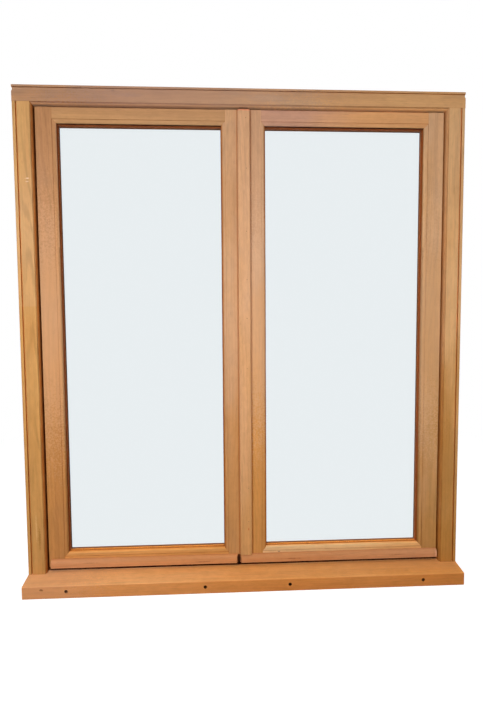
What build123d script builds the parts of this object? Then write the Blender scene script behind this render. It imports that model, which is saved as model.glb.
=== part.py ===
from build123d import *
import os
from math import radians, tan
from typing import NamedTuple

# A hardwood casement window: a rebated frame on a projecting sill, with two side-hung sashes.
# X runs to the right seen from outside, Y into the building, Z up. The outer face of the frame
# is Y = 0, the underside of the sill is Z = 0 and X = 0 is the middle of the frame.

# Frame
FRAME_WIDTH = 1195
FRAME_HEIGHT = 1340.5
FRAME_DEPTH = 95
JAMB_FACE = 44.5
HEAD_FACE = 42
FRAME_OVOLO_WIDTH = 4.5
FRAME_QUIRK = 2
SASH_SET_BACK = 10
STOP_HEIGHT = 12
FRAME_ARRIS = 1.5
ROOM_ARRIS = 5
JAMB_GROOVE_EDGE = 8.5
JAMB_GROOVE_WIDTH = 3.5
HEAD_GROOVE_EDGE = 6
HEAD_GROOVE_WIDTH = 2
FACE_GROOVE_DEPTH = 5
NOTCH_RADIUS = 6.25
NOTCH_DEPTH = 2.5
NOTCH_DROP = 12

# Sill
SILL_PROJECTION = 50.5
NOSE_HEIGHT = 34.7
NOSE_RADIUS = 3
WEATHERING_ANGLE = 9.9
THROAT_WIDTH = 8
THROAT_DEPTH = 5
THROAT_SET_BACK = 14
WEEP_RADIUS = 4.5
WEEP_HEIGHT = 19
WEEP_DEPTH = 60
WEEP_OFFSETS = (114.5, 482.5)

# Sashes
SASH_THICKNESS = 44
SASH_GAP = 4.5
SILL_GAP = 6
MEETING_OFFSET = -1.7
MEETING_GAP = 3
MEETING_REBATE = 12
HANGING_STILE_WIDTH = 53
MEETING_STILE_WIDTH = 56.5
TOP_RAIL_WIDTH = 40
BOTTOM_RAIL_WIDTH = 46
SASH_OVOLO_WIDTH = 10
SASH_OVOLO_DEPTH = 7
SASH_QUIRK = 1.2
SASH_ARRIS = 1.5

# Glazing
GLAZING_LIP = 14
GLAZING_REBATE = 15
GLASS_THICKNESS = 4
CAVITY = 12
GLASS_COVER = 12
SPACER_HEIGHT = 7
SPACER_INSET = 1
BEAD_CHAMFER = 6

# Drip bars and astragal
DRIP_RISE = 8
DRIP_HEIGHT = 22
DRIP_PROJECTION = 12
DRIP_TOP_LEDGE = 2
DRIP_NOSE_HEIGHT = 10
DRIP_ARRIS = 1.5
DRIP_THROAT = 3
LEFT_DRIP_INSET = 7
RIGHT_DRIP_INSET = 1.5
DRIP_LAP = 19.1
DRIP_JOINT_GAP = 3
DRIP_END_CUT = 5
ASTRAGAL_WIDTH = 33
ASTRAGAL_THICKNESS = 11
ASTRAGAL_LAP = 15.3
ASTRAGAL_RADIUS = 4
ASTRAGAL_TOP_GAP = 3

# Places that several pieces share
SASH_FACE = SASH_SET_BACK
SASH_BACK = SASH_FACE + SASH_THICKNESS
GLASS_FACE = SASH_FACE + GLAZING_LIP
CAVITY_FACE = GLASS_FACE + GLASS_THICKNESS
INNER_GLASS_FACE = CAVITY_FACE + CAVITY
BEAD_FACE = INNER_GLASS_FACE + GLASS_THICKNESS
MEETING_STEP = SASH_FACE + SASH_THICKNESS / 2
SLOPE = tan(radians(WEATHERING_ANGLE))
PAST = 1


def weathering(depth):
    """Height of the sloping top of the sill at a depth behind the frame's outer face."""
    return NOSE_HEIGHT + (SILL_PROJECTION + depth) * SLOPE


SASH_BOTTOM = weathering(SASH_FACE) + SILL_GAP
SASH_TOP = FRAME_HEIGHT - HEAD_FACE - FRAME_OVOLO_WIDTH - SASH_GAP
SASH_SIDE = FRAME_WIDTH / 2 - JAMB_FACE - FRAME_OVOLO_WIDTH - SASH_GAP
SILL_STOP_TOP = weathering(SASH_BACK) + SILL_GAP + STOP_HEIGHT - SASH_GAP


class Side(NamedTuple):
    """One side of a rectangle of members: its start, its run and the way into the opening."""

    corner: tuple
    along: tuple
    inward: tuple
    length: float


def sides(left, right, bottom, top):
    """The four sides of an upright rectangle, each running on from the one before."""
    height, width = top - bottom, right - left
    return {
        "left": Side((left, 0, bottom), (0, 0, 1), (1, 0, 0), height),
        "top": Side((left, 0, top), (1, 0, 0), (0, 0, -1), width),
        "right": Side((right, 0, top), (0, 0, -1), (-1, 0, 0), height),
        "bottom": Side((right, 0, bottom), (-1, 0, 0), (0, 0, 1), width),
    }


def section_plane(side):
    """Plane across a member: X into the opening, Y into the building."""
    return Plane(origin=side.corner, x_dir=side.inward, z_dir=side.along)


def elevation_plane(side):
    """Plane along a member: X along its run, Y into the opening, facing the building."""
    return Plane(origin=side.corner, x_dir=side.along, z_dir=(0, 1, 0))


def frame_section(face, groove_edge, groove_width):
    """Section of a jamb or the head: grooved face, quirked ovolo, sash rebate and stop."""
    reveal = face + FRAME_OVOLO_WIDTH
    stop = reveal + STOP_HEIGHT
    groove_end = groove_edge + groove_width
    room_arris = FRAME_DEPTH - ROOM_ARRIS
    with BuildSketch() as section:
        with BuildLine():
            Polyline(
                (FRAME_ARRIS, 0),
                (groove_edge, 0),
                (groove_edge, FACE_GROOVE_DEPTH),
                (groove_end, FACE_GROOVE_DEPTH),
                (groove_end, 0),
                (face, 0),
                (face, FRAME_QUIRK),
            )
            EllipticalCenterArc(
                (face, SASH_SET_BACK), FRAME_OVOLO_WIDTH, SASH_SET_BACK - FRAME_QUIRK, -90, arc_size=90
            )
            Polyline((reveal, SASH_SET_BACK), (reveal, SASH_BACK), (stop, SASH_BACK), (stop, room_arris))
            RadiusArc((stop, room_arris), (stop - ROOM_ARRIS, FRAME_DEPTH), -ROOM_ARRIS)
            Polyline((stop - ROOM_ARRIS, FRAME_DEPTH), (0, FRAME_DEPTH), (0, FRAME_ARRIS))
            RadiusArc((0, FRAME_ARRIS), (FRAME_ARRIS, 0), FRAME_ARRIS)
        make_face()
    return section.sketch


def sill_section():
    """Section of the sill, X into the building: nose, weathered slope, stop and throating."""
    nose = -SILL_PROJECTION
    throat = nose + THROAT_SET_BACK
    with BuildSketch() as section:
        with BuildLine():
            Polyline(
                (nose, 0),
                (throat, 0),
                (throat, THROAT_DEPTH),
                (throat + THROAT_WIDTH, THROAT_DEPTH),
                (throat + THROAT_WIDTH, 0),
                (FRAME_DEPTH, 0),
                (FRAME_DEPTH, SILL_STOP_TOP),
                (SASH_BACK, SILL_STOP_TOP),
                (SASH_BACK, weathering(SASH_BACK)),
                (nose, NOSE_HEIGHT),
                close=True,
            )
        make_face()
    return section.sketch


def make_head():
    """Head across the full width, over the jambs, its moulding and stop mitred to theirs."""
    side = sides(-FRAME_WIDTH / 2, FRAME_WIDTH / 2, 0, FRAME_HEIGHT)["top"]
    section = frame_section(HEAD_FACE, HEAD_GROOVE_EDGE, HEAD_GROOVE_WIDTH)
    reach = FRAME_OVOLO_WIDTH + STOP_HEIGHT + PAST
    past_end = side.length / 2 + PAST
    mitre_x, mitre_z = side.length / 2 - JAMB_FACE, FRAME_HEIGHT - HEAD_FACE
    with BuildPart() as head:
        with BuildSketch(section_plane(side)):
            add(section)
        extrude(amount=side.length)
        with BuildSketch(Plane.XZ):
            with BuildLine():
                Polyline(
                    (past_end, mitre_z),
                    (mitre_x, mitre_z),
                    (mitre_x - reach, mitre_z - reach),
                    (past_end, mitre_z - reach),
                    close=True,
                )
            make_face()
            with Locations((side.length / 2 + NOTCH_RADIUS - NOTCH_DEPTH, FRAME_HEIGHT - NOTCH_DROP)):
                Circle(NOTCH_RADIUS)
            mirror(about=Plane.YZ)
        extrude(amount=-FRAME_DEPTH, mode=Mode.SUBTRACT)
    return head


def make_jamb_left():
    """Left jamb under the head, its foot scribed to the top of the sill."""
    side = sides(-FRAME_WIDTH / 2, FRAME_WIDTH / 2, NOSE_HEIGHT, FRAME_HEIGHT - HEAD_FACE)["left"]
    section = frame_section(JAMB_FACE, JAMB_GROOVE_EDGE, JAMB_GROOVE_WIDTH)
    scribe = sill_section()
    reach = FRAME_OVOLO_WIDTH + STOP_HEIGHT + PAST
    mitre_x, mitre_z = JAMB_FACE - FRAME_WIDTH / 2, FRAME_HEIGHT - HEAD_FACE
    with BuildPart() as jamb:
        with BuildSketch(section_plane(side)):
            add(section)
        extrude(amount=side.length)
        with BuildSketch(Plane.XZ):
            with BuildLine():
                Polyline(
                    (mitre_x, mitre_z),
                    (mitre_x + reach, mitre_z - reach),
                    (mitre_x + reach, mitre_z + PAST),
                    (mitre_x, mitre_z + PAST),
                    close=True,
                )
            make_face()
        extrude(amount=-FRAME_DEPTH, mode=Mode.SUBTRACT)
        with BuildSketch(Plane.YZ.offset(-FRAME_WIDTH / 2)):
            add(scribe)
        extrude(amount=FRAME_WIDTH, mode=Mode.SUBTRACT)
    return jamb


def make_jamb_right(jamb_left):
    """Right jamb, the mirror image of the left one."""
    with BuildPart() as jamb:
        mirror(jamb_left.part, about=Plane.YZ)
    return jamb


def make_sill():
    """Sill the full width of the frame, with a rounded nose and a row of weep holes."""
    section = sill_section()
    with BuildPart() as sill:
        with BuildSketch(Plane.YZ.offset(-FRAME_WIDTH / 2)):
            add(section)
        extrude(amount=FRAME_WIDTH)
        nose_edges = sill.edges().filter_by(Axis.X).group_by(Axis.Y)[0]
        fillet(nose_edges, NOSE_RADIUS)
        with BuildSketch(Plane.XZ.offset(SILL_PROJECTION)):
            with Locations(*[(sign * x, WEEP_HEIGHT) for x in WEEP_OFFSETS for sign in (-1, 1)]):
                Circle(WEEP_RADIUS)
        extrude(amount=-WEEP_DEPTH, mode=Mode.SUBTRACT)
    return sill


def sash_section(width, lap=0):
    """Section of a stile or rail: face, quirked ovolo, glazing lip and glazing rebate.

    A lap carries the room half of the outer edge past the joint (positive) or holds it back.
    """
    shoulder = width - SASH_OVOLO_WIDTH
    quirk = SASH_FACE + SASH_QUIRK
    ovolo_end = SASH_FACE + SASH_OVOLO_DEPTH
    rebate = width - GLAZING_REBATE
    step = MEETING_STEP + (MEETING_GAP / 2 if lap > 0 else -MEETING_GAP / 2)
    edge = [(-lap, SASH_BACK), (-lap, step), (0, step)] if lap else [(0, SASH_BACK)]
    with BuildSketch() as section:
        with BuildLine():
            Polyline((SASH_ARRIS, SASH_FACE), (shoulder, SASH_FACE), (shoulder, quirk))
            EllipticalCenterArc(
                (shoulder, ovolo_end), SASH_OVOLO_WIDTH, SASH_OVOLO_DEPTH - SASH_QUIRK, -90, arc_size=90
            )
            Polyline(
                (width, ovolo_end),
                (width, GLASS_FACE),
                (rebate, GLASS_FACE),
                (rebate, SASH_BACK),
                *edge,
                (0, SASH_FACE + SASH_ARRIS),
            )
            RadiusArc((0, SASH_FACE + SASH_ARRIS), (SASH_ARRIS, SASH_FACE), SASH_ARRIS)
        make_face()
    return section.sketch


def make_foot_bevel():
    """Wedge under the sashes that takes their feet off parallel to the weathered sill."""
    with BuildPart() as wedge:
        with BuildSketch(Plane.YZ.offset(-FRAME_WIDTH / 2)):
            with BuildLine():
                Polyline(
                    (SASH_FACE, 0),
                    (SASH_FACE, SASH_BOTTOM),
                    (SASH_BACK, weathering(SASH_BACK) + SILL_GAP),
                    (SASH_BACK, 0),
                    close=True,
                )
            make_face()
        extrude(amount=FRAME_WIDTH)
    return wedge.part


def make_stile(side, width, start_rail, end_rail, lap=0):
    """Stile the full height of the sash, shouldered and mitred for the rails at its two ends."""
    shoulder = width - SASH_OVOLO_WIDTH
    rebate = width - GLAZING_REBATE
    ends = ((0, 1, start_rail), (side.length, -1, end_rail))
    section = sash_section(width, lap)
    foot_bevel = make_foot_bevel()
    with BuildPart() as stile:
        with BuildSketch(section_plane(side)):
            add(section)
        extrude(amount=side.length)
        with BuildSketch(elevation_plane(side).offset(GLASS_FACE)):
            for end, step, rail in ends:
                inner = end + step * (rail - GLAZING_REBATE)
                with BuildLine():
                    Polyline((end, rebate), (inner, rebate), (inner, shoulder), (end, shoulder), close=True)
                make_face()
        extrude(amount=SASH_BACK - GLASS_FACE)
        with BuildSketch(elevation_plane(side)):
            for end, step, rail in ends:
                outside = end - step * PAST
                opening = end + step * rail
                mitre = opening - step * SASH_OVOLO_WIDTH
                with BuildLine():
                    Polyline(
                        (outside, shoulder),
                        (mitre, shoulder),
                        (opening, width),
                        (opening, width + PAST),
                        (outside, width + PAST),
                        close=True,
                    )
                make_face()
        extrude(amount=SASH_BACK, mode=Mode.SUBTRACT)
        add(foot_bevel, mode=Mode.SUBTRACT)
    return stile


def make_rail(side, width, start_stile, end_stile):
    """Rail between the stiles, its moulding mitred to theirs."""
    ends = ((0, 1, start_stile), (side.length, -1, end_stile))
    start = start_stile - SASH_OVOLO_WIDTH
    section = sash_section(width)
    foot_bevel = make_foot_bevel()
    with BuildPart() as rail:
        with BuildSketch(section_plane(side).offset(start)):
            add(section)
        extrude(amount=side.length - start - end_stile + SASH_OVOLO_WIDTH)
        with BuildSketch(elevation_plane(side)):
            for end, step, stile in ends:
                opening = end + step * stile
                butt = opening - step * SASH_OVOLO_WIDTH
                with BuildLine():
                    Polyline(
                        (butt, width - SASH_OVOLO_WIDTH),
                        (opening, width),
                        (opening, width + PAST),
                        (butt - step * PAST, width + PAST),
                        (butt - step * PAST, width - SASH_OVOLO_WIDTH),
                        close=True,
                    )
                make_face()
        extrude(amount=SASH_BACK, mode=Mode.SUBTRACT)
        add(foot_bevel, mode=Mode.SUBTRACT)
    return rail


def make_sheet(opening, margin, front, thickness):
    """Flat sheet that covers an opening and reaches past it by a margin on every side."""
    left, right, bottom, top = opening
    with BuildPart() as sheet:
        with BuildSketch(Plane.XZ.offset(-front)):
            with Locations(((left + right) / 2, (bottom + top) / 2)):
                Rectangle(right - left + 2 * margin, top - bottom + 2 * margin)
        extrude(amount=-thickness)
    return sheet


def make_spacer(opening):
    """Spacer bar round the cavity between the panes."""
    left, right, bottom, top = opening
    width = right - left + 2 * SPACER_INSET
    height = top - bottom + 2 * SPACER_INSET
    with BuildPart() as spacer:
        with BuildSketch(Plane.XZ.offset(-CAVITY_FACE)):
            with Locations(((left + right) / 2, (bottom + top) / 2)):
                Rectangle(width + 2 * SPACER_HEIGHT, height + 2 * SPACER_HEIGHT)
                Rectangle(width, height, mode=Mode.SUBTRACT)
        extrude(amount=-CAVITY)
    return spacer


def make_bead(side):
    """Glazing bead with a chamfered room edge, mitred at both ends."""
    reach = GLAZING_REBATE + PAST
    with BuildPart() as bead:
        with BuildSketch(section_plane(side)):
            with BuildLine():
                Polyline(
                    (0, BEAD_FACE),
                    (GLAZING_REBATE, BEAD_FACE),
                    (GLAZING_REBATE, SASH_BACK - BEAD_CHAMFER),
                    (GLAZING_REBATE - BEAD_CHAMFER, SASH_BACK),
                    (0, SASH_BACK),
                    close=True,
                )
            make_face()
        extrude(amount=side.length)
        with BuildSketch(elevation_plane(side).offset(BEAD_FACE)):
            for end, step in ((0, 1), (side.length, -1)):
                outside = end - step * PAST
                with BuildLine():
                    Polyline((end, 0), (end + step * reach, reach), (outside, reach), (outside, 0), close=True)
                make_face()
        extrude(amount=SASH_BACK - BEAD_FACE, mode=Mode.SUBTRACT)
    return bead


def drip_section():
    """Section of a drip bar, X into the building: swelling top, upright nose and throating."""
    bottom = SASH_BOTTOM + DRIP_RISE
    top = bottom + DRIP_HEIGHT
    front = SASH_FACE - DRIP_PROJECTION
    swell = DRIP_PROJECTION - DRIP_TOP_LEDGE
    nose_top = bottom + DRIP_NOSE_HEIGHT
    throat = (front + SASH_FACE) / 2
    with BuildSketch() as section:
        with BuildLine():
            Line((SASH_FACE, top), (SASH_FACE - DRIP_TOP_LEDGE, top))
            EllipticalCenterArc((front + swell, nose_top), swell, top - nose_top, 90, arc_size=90)
            Line((front, nose_top), (front, bottom + DRIP_ARRIS))
            RadiusArc((front, bottom + DRIP_ARRIS), (front + DRIP_ARRIS, bottom), -DRIP_ARRIS)
            Polyline(
                (front + DRIP_ARRIS, bottom),
                (throat - DRIP_THROAT / 2, bottom),
                (throat - DRIP_THROAT / 2, bottom + DRIP_THROAT),
                (throat + DRIP_THROAT / 2, bottom + DRIP_THROAT),
                (throat + DRIP_THROAT / 2, bottom),
                (SASH_FACE, bottom),
                (SASH_FACE, top),
            )
        make_face()
    return section.sketch


def make_drip_bar(outer_end, meeting_end):
    """Drip bar on the bottom rail, its meeting end cut back in plan so that the sashes can pass."""
    step = 1 if outer_end > meeting_end else -1
    front = SASH_FACE - DRIP_PROJECTION
    section = drip_section()
    with BuildPart() as bar:
        with BuildSketch(Plane.YZ.offset(min(outer_end, meeting_end))):
            add(section)
        extrude(amount=abs(outer_end - meeting_end))
        with BuildSketch(Plane.XY.offset(SASH_BOTTOM)):
            with BuildLine():
                Polyline(
                    (meeting_end, SASH_FACE),
                    (meeting_end + step * DRIP_END_CUT, front),
                    (meeting_end - step * PAST, front),
                    (meeting_end - step * PAST, SASH_FACE),
                    close=True,
                )
            make_face()
        extrude(amount=DRIP_RISE + DRIP_HEIGHT, mode=Mode.SUBTRACT)
        end_face = bar.faces().sort_by(Axis.X)[-1 if step > 0 else 0]
        end_arris = end_face.edges().filter_by(lambda edge: edge.center().Y < front + DRIP_ARRIS)
        swell_arris = end_face.edges().filter_by(GeomType.ELLIPSE)
        fillet(end_arris + swell_arris, DRIP_ARRIS)
    return bar


def make_astragal():
    """Rounded strip on the right sash that laps over the joint between the sashes."""
    left = MEETING_OFFSET - ASTRAGAL_LAP
    foot = SASH_BOTTOM + DRIP_RISE + DRIP_HEIGHT
    front = SASH_FACE - ASTRAGAL_THICKNESS
    with BuildPart() as astragal:
        with BuildSketch(Plane.XY.offset(foot)):
            with Locations((left, front)):
                Rectangle(ASTRAGAL_WIDTH, ASTRAGAL_THICKNESS, align=(Align.MIN, Align.MIN))
        extrude(amount=SASH_TOP - ASTRAGAL_TOP_GAP - foot)
        front_arrises = astragal.edges().filter_by(Axis.Z).group_by(Axis.Y)[0]
        fillet(front_arrises, ASTRAGAL_RADIUS)
    return astragal


def make_sash(left, right, stiles, laps, prefix):
    """The named pieces of one sash: two stiles, two rails, a sealed double pane and its beads."""
    around = sides(left, right, SASH_BOTTOM, SASH_TOP)
    left_stile, right_stile = stiles
    opening = (
        left + left_stile,
        right - right_stile,
        SASH_BOTTOM + BOTTOM_RAIL_WIDTH,
        SASH_TOP - TOP_RAIL_WIDTH,
    )
    rebate = sides(
        opening[0] - GLAZING_REBATE,
        opening[1] + GLAZING_REBATE,
        opening[2] - GLAZING_REBATE,
        opening[3] + GLAZING_REBATE,
    )
    pieces = {
        "stile_left": make_stile(around["left"], left_stile, BOTTOM_RAIL_WIDTH, TOP_RAIL_WIDTH, laps[0]),
        "stile_right": make_stile(around["right"], right_stile, TOP_RAIL_WIDTH, BOTTOM_RAIL_WIDTH, laps[1]),
        "rail_top": make_rail(around["top"], TOP_RAIL_WIDTH, left_stile, right_stile),
        "rail_bottom": make_rail(around["bottom"], BOTTOM_RAIL_WIDTH, right_stile, left_stile),
        "pane_outer": make_sheet(opening, GLASS_COVER, GLASS_FACE, GLASS_THICKNESS),
        "pane_inner": make_sheet(opening, GLASS_COVER, INNER_GLASS_FACE, GLASS_THICKNESS),
        "spacer": make_spacer(opening),
    }
    for place, side in rebate.items():
        pieces["bead_" + place] = make_bead(side)
    return {prefix + "_" + name: piece for name, piece in pieces.items()}


def make_window():
    """Every piece of the window by its name."""
    drip_joint = MEETING_OFFSET - DRIP_LAP
    left_drip_end = LEFT_DRIP_INSET - SASH_SIDE
    right_drip_end = SASH_SIDE - RIGHT_DRIP_INSET
    left_meeting_edge = MEETING_OFFSET - MEETING_GAP / 2
    right_meeting_edge = MEETING_OFFSET + MEETING_GAP / 2
    jamb_left = make_jamb_left()
    pieces = {
        "head": make_head(),
        "jamb_left": jamb_left,
        "jamb_right": make_jamb_right(jamb_left),
        "sill": make_sill(),
        "astragal": make_astragal(),
        "left_drip_bar": make_drip_bar(left_drip_end, drip_joint - DRIP_JOINT_GAP / 2),
        "right_drip_bar": make_drip_bar(right_drip_end, drip_joint + DRIP_JOINT_GAP / 2),
    }
    left_stiles = (HANGING_STILE_WIDTH, MEETING_STILE_WIDTH)
    right_stiles = (MEETING_STILE_WIDTH, HANGING_STILE_WIDTH)
    left_laps, right_laps = (0, MEETING_REBATE), (-MEETING_REBATE, 0)
    pieces.update(make_sash(-SASH_SIDE, left_meeting_edge, left_stiles, left_laps, "left_sash"))
    pieces.update(make_sash(right_meeting_edge, SASH_SIDE, right_stiles, right_laps, "right_sash"))
    return pieces


os.makedirs("parts", exist_ok=True)
for name, piece in make_window().items():
    piece.part.label = name
    export_step(piece.part, f"parts/{name}.step")
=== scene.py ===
import math

import bpy
import numpy as np
from mathutils import Matrix, Vector


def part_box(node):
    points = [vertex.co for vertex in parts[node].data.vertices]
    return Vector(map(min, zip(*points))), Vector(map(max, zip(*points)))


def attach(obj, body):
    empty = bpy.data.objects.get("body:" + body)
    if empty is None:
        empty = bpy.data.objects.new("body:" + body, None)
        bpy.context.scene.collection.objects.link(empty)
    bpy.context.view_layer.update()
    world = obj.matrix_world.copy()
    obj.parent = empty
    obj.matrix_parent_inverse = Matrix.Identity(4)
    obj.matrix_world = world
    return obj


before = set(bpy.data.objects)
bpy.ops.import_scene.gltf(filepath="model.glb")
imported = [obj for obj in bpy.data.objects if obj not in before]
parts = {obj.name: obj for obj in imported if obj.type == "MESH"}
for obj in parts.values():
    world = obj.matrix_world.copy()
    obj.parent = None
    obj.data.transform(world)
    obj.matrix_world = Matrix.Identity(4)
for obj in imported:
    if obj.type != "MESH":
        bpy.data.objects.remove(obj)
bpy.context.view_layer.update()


def linear(red, green, blue):
    """A tone as the eye reads it, 0 to 255, as the linear colour that the shader takes."""
    shares = [v / 255 for v in (red, green, blue)]
    return [v / 12.92 if v <= 0.04045 else ((v + 0.055) / 1.055) ** 2.4 for v in shares] + [1.0]


# Building node trees

def put(tree, kind, links=None, **settings):
    """A node with its settings, its inputs linked to sockets or set to plain values."""
    node = tree.nodes.new(kind)
    for name, value in settings.items():
        setattr(node, name, value)
    for key, value in (links or {}).items():
        if isinstance(value, bpy.types.NodeSocket):
            tree.links.new(value, node.inputs[key])
        else:
            node.inputs[key].default_value = value
    return node


def use_group(tree, group, links):
    """The outputs of a group placed in a tree, its inputs linked or set."""
    return put(tree, "ShaderNodeGroup", links, node_tree=group).outputs


def reckon(tree, operation, *values, clamp=False):
    """The result socket of a Math node."""
    node = put(tree, "ShaderNodeMath", dict(enumerate(values)), operation=operation, use_clamp=clamp)
    return node.outputs[0]


def product(tree, *values):
    """Several masks multiplied together."""
    share = values[0]
    for value in values[1:]:
        share = reckon(tree, "MULTIPLY", share, value)
    return share


def ramp(tree, value, low, high, start=0.0, end=1.0, smooth=True):
    """A value carried from the range low to high into the range start to end, and held there past it."""
    kind = "SMOOTHSTEP" if smooth else "LINEAR"
    node = put(
        tree,
        "ShaderNodeMapRange",
        {"Value": value, "From Min": low, "From Max": high, "To Min": start, "To Max": end},
        interpolation_type=kind,
    )
    return node.outputs["Result"]


def blend(tree, share, first, second, kind="MIX"):
    """Two colours mixed by a share."""
    node = put(tree, "ShaderNodeMix", {0: share, 6: first, 7: second}, data_type="RGBA", blend_type=kind)
    return node.outputs[2]


def grey_of(tree, value):
    """A value as a grey colour."""
    return put(tree, "ShaderNodeCombineColor", {0: value, 1: value, 2: value}).outputs[0]


def split(tree, vector):
    """The X, Y and Z of a vector."""
    return put(tree, "ShaderNodeSeparateXYZ", {0: vector}).outputs


def vector_of(tree, operation, *vectors):
    """The vector that a Vector Math node works out."""
    return put(tree, "ShaderNodeVectorMath", dict(enumerate(vectors)), operation=operation).outputs[0]


def measure_of(tree, operation, *vectors):
    """The number that a Vector Math node works out, such as a length or a dot product."""
    node = put(tree, "ShaderNodeVectorMath", dict(enumerate(vectors)), operation=operation)
    return node.outputs["Value"]


def true_normal(tree):
    """The way that the surface looks at each point."""
    return put(tree, "ShaderNodeNewGeometry").outputs["Normal"]


def stretched_noise(tree, place, scale, detail=2.0, roughness=0.5, distortion=0.0):
    """Noise stretched by a scale along each axis of the place."""
    mapping = put(tree, "ShaderNodeMapping", {"Vector": place, "Scale": scale})
    noise = put(
        tree,
        "ShaderNodeTexNoise",
        {
            "Vector": mapping.outputs[0],
            "Scale": 1.0,
            "Detail": detail,
            "Roughness": roughness,
            "Distortion": distortion,
        },
    )
    return noise.outputs["Fac"]


def new_group(name, inputs, outputs):
    """A shader node group with named inputs and outputs, and its two end nodes."""
    tree = bpy.data.node_groups.new(name, "ShaderNodeTree")
    for socket_name, kind, default in inputs:
        socket = tree.interface.new_socket(socket_name, in_out="INPUT", socket_type=kind)
        if default is not None:
            socket.default_value = default
    for socket_name, kind in outputs:
        tree.interface.new_socket(socket_name, in_out="OUTPUT", socket_type=kind)
    return tree, tree.nodes.new("NodeGroupInput").outputs, tree.nodes.new("NodeGroupOutput").inputs


def hook(tree, sockets):
    """Links of sockets in pairs, from the first to the second."""
    for source, target in sockets:
        tree.links.new(source, target)


def begin_material(name):
    """A new material, its node tree, its Principled BSDF, and the place on the piece in metres."""
    material = bpy.data.materials.new(name)
    material.use_nodes = True
    tree = material.node_tree
    place = put(tree, "ShaderNodeTexCoord").outputs["Object"]
    return material, tree, tree.nodes["Principled BSDF"], place


# Effects that the boards share

def make_growth_rings():
    """Rings of a trunk cut by the board: waves of the distance from a wandering heart behind the face.

    Board has X along the grain, Y into the board and Z across it, from the board's middle, in metres.
    The distance is the root of (Y - heart depth) squared and (Z - heart side) squared, and the heart
    wanders along X, so that a face cut near the heart shows long pointed arches.
    """
    tree, given, out = new_group(
        "growth_rings",
        [
            ("Board", "NodeSocketVector", None),
            ("Place", "NodeSocketVector", None),
            ("Heart side", "NodeSocketFloat", 0.05),
            ("Heart depth", "NodeSocketFloat", 0.08),
        ],
        [("Ring", "NodeSocketFloat")],
    )
    along, deep, across = split(tree, given["Board"])
    wander = stretched_noise(tree, given["Place"], (1.7, 2.0, 2.0), 2.0)
    side = reckon(tree, "ADD", given["Heart side"], ramp(tree, wander, 0.3, 0.7, -0.02, 0.02, smooth=False))
    slope = reckon(tree, "MULTIPLY", along, 0.035)
    rise = reckon(tree, "SUBTRACT", reckon(tree, "SUBTRACT", deep, given["Heart depth"]), slope)
    run = reckon(tree, "SUBTRACT", across, side)
    far = reckon(tree, "SQRT", reckon(
        tree, "ADD", reckon(tree, "MULTIPLY", rise, rise), reckon(tree, "MULTIPLY", run, run)
    ))
    uneven = stretched_noise(tree, given["Place"], (4.0, 45.0, 45.0), 3.0, 0.55)
    turns = reckon(tree, "ADD", reckon(tree, "MULTIPLY", far, 900.0), reckon(tree, "MULTIPLY", uneven, 9.0))
    wave = reckon(tree, "SINE", turns)
    fading = ramp(tree, stretched_noise(tree, given["Place"], (3.0, 25.0, 25.0), 2.0), 0.38, 0.66)
    hook(tree, [(product(tree, ramp(tree, wave, 0.1, 1.0), fading), out["Ring"])])
    return tree


def make_board_figure():
    """Hardwood figure: a drift of tone along the board, soft streaks, mottle, rings, fine lines and pores.

    Place has X along the grain, in metres. Run goes from 0 to 1 along the board.
    """
    tree, given, out = new_group(
        "board_figure",
        [
            ("Place", "NodeSocketVector", None),
            ("Run", "NodeSocketFloat", 0.5),
            ("First tone", "NodeSocketColor", None),
            ("Last tone", "NodeSocketColor", None),
            ("Streak", "NodeSocketFloat", 1.0),
            ("Ring", "NodeSocketFloat", 0.0),
            ("Ring strength", "NodeSocketFloat", 0.5),
            ("Greying", "NodeSocketFloat", 0.2),
        ],
        [("Colour", "NodeSocketColor"), ("Height", "NodeSocketFloat"), ("Sheen loss", "NodeSocketFloat")],
    )
    place = given["Place"]
    wander = stretched_noise(tree, place, (2.2, 9.0, 9.0), 3.0)
    run = reckon(tree, "ADD", given["Run"], ramp(tree, wander, 0.3, 0.7, -0.25, 0.25))
    tone = blend(tree, ramp(tree, run, 0.05, 0.95), given["First tone"], given["Last tone"])
    broad = stretched_noise(tree, place, (1.3, 38.0, 38.0), 3.0, 0.55, 0.3)
    fine = stretched_noise(tree, place, (4.5, 210.0, 210.0), 3.0, 0.6, 0.2)
    mottle = stretched_noise(tree, place, (26.0, 55.0, 55.0), 3.0, 0.6, 0.8)
    blotch = stretched_noise(tree, place, (9.0, 22.0, 22.0), 2.0, 0.5, 0.5)
    pore = stretched_noise(tree, place, (38.0, 1500.0, 1500.0), 1.0)
    lift = reckon(tree, "MULTIPLY", ramp(tree, broad, 0.34, 0.66, -0.5, 0.5), given["Streak"])
    redness = reckon(tree, "ADD", lift, 0.5, clamp=True)
    rosy = blend(tree, redness, (1.05, 1.00, 0.94, 1), (0.92, 0.84, 0.80, 1))
    tone = blend(tree, 1.0, tone, rosy, "MULTIPLY")
    grey = product(tree, ramp(tree, blotch, 0.45, 0.70), given["Greying"])
    tone = blend(tree, grey, tone, blend(tree, 1.0, tone, (0.86, 0.94, 1.12, 1), "MULTIPLY"))
    light = product(
        tree,
        ramp(tree, fine, 0.34, 0.66, 1.035, 0.955),
        ramp(tree, mottle, 0.34, 0.66, 0.965, 1.035),
        reckon(tree, "SUBTRACT", 1.0, product(tree, given["Ring"], given["Ring strength"], 0.22)),
    )
    open_pore = ramp(tree, pore, 0.62, 0.72)
    light = reckon(tree, "MULTIPLY", light, ramp(tree, open_pore, 0.0, 1.0, 1.0, 0.80))
    hook(tree, [(blend(tree, 1.0, tone, grey_of(tree, light), "MULTIPLY"), out["Colour"])])
    height = reckon(tree, "SUBTRACT", reckon(tree, "MULTIPLY", fine, 0.5), open_pore)
    hook(tree, [(height, out["Height"]), (open_pore, out["Sheen loss"])])
    return tree


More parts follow.
